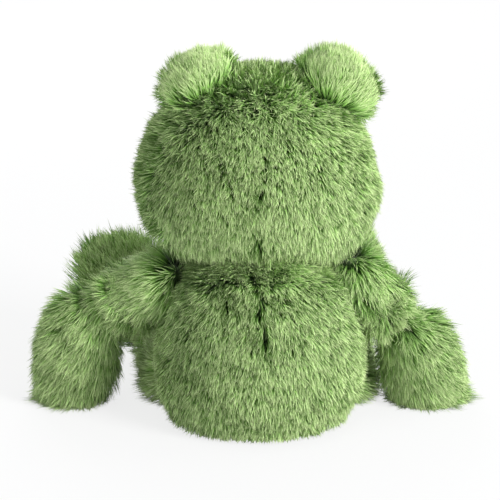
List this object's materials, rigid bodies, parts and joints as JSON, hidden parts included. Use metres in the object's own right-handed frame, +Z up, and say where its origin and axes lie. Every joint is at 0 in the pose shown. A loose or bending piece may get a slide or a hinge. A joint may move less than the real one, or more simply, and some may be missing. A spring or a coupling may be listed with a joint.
{
  "type": "plush frog",
  "caption": "Seated long-pile plush frog with eye mounds, mitt-shaped hands, upright feet and a weighted seat; head, arms, hands, legs and feet bend at soft seams.",
  "frame": {"origin": "centre of the flat seat, on the floor", "axes": "+Z up; the toy faces -Y; +X is the toy's left side"},
  "size_m": [0.2919, 0.1867, 0.2435],
  "materials": {
    "pile": "matte",
    "belly_pile": "matte",
    "seat_cloth": "matte",
    "bag_cloth": "matte",
    "thread": "satin",
    "eye_plastic": "gloss",
    "washer_plastic": "satin"
  },
  "bodies": {
    "body": {"body": "pile", "belly_panel": "belly_pile", "seat_panel": "seat_cloth", "pellet_bag": "bag_cloth"},
    "head": {"head": "pile", "mouth_stitch": "thread", "eye_mound_left": "pile", "eye_left": "eye_plastic", "eye_washer_left": "washer_plastic", "nostril_left": "thread", "eye_mound_right": "pile", "eye_right": "eye_plastic", "eye_washer_right": "washer_plastic", "nostril_right": "thread"},
    "upper_arm_left": {"upper_arm_left": "pile"},
    "hand_left": {"hand_left": "pile"},
    "leg_left": {"leg_left": "pile"},
    "foot_left": {"foot_left": "pile"},
    "upper_arm_right": {"upper_arm_right": "pile"},
    "hand_right": {"hand_right": "pile"},
    "leg_right": {"leg_right": "pile"},
    "foot_right": {"foot_right": "pile"}
  },
  "joints": [
    {"name": "head_turn", "type": "hinge", "parent": "body", "child": "head", "pos_m": [0, 0, 0.122], "axis": [0, 0, 1], "range_deg": [-22, 22]},
    {"name": "shoulder_left", "type": "hinge", "parent": "body", "child": "upper_arm_left", "pos_m": [0.0613, -0.005, 0.092], "axis": [0, -1, 0], "range_deg": [-8, 38]},
    {"name": "wrist_left", "type": "hinge", "parent": "upper_arm_left", "child": "hand_left", "pos_m": [0.09951, -0.02065, 0.07174], "axis": [0, -1, 0], "range_deg": [0, 55]},
    {"name": "shoulder_right", "type": "hinge", "parent": "body", "child": "upper_arm_right", "pos_m": [-0.05999, -0.005, 0.095], "axis": [0, 1, 0], "range_deg": [0, 40]},
    {"name": "wrist_right", "type": "hinge", "parent": "upper_arm_right", "child": "hand_right", "pos_m": [-0.09146, -0.01184, 0.06216], "axis": [0, 1, 0], "range_deg": [-6, 35]},
    {"name": "hip_left", "type": "hinge", "parent": "body", "child": "leg_left", "pos_m": [0.05003, -0.03199, 0.022], "axis": [0, 0, 1], "range_deg": [-12, 12]},
    {"name": "ankle_left", "type": "hinge", "parent": "leg_left", "child": "foot_left", "pos_m": [0.06035, -0.09718, 0.022], "axis": [0.9877, 0.1564, 0], "range_deg": [-12, 48]},
    {"name": "hip_right", "type": "hinge", "parent": "body", "child": "leg_right", "pos_m": [-0.05003, -0.03199, 0.022], "axis": [0, 0, -1], "range_deg": [-12, 12]},
    {"name": "ankle_right", "type": "hinge", "parent": "leg_right", "child": "foot_right", "pos_m": [-0.05233, -0.09795, 0.022], "axis": [0.9994, -0.0349, 0], "range_deg": [-12, 48]}
  ]
}
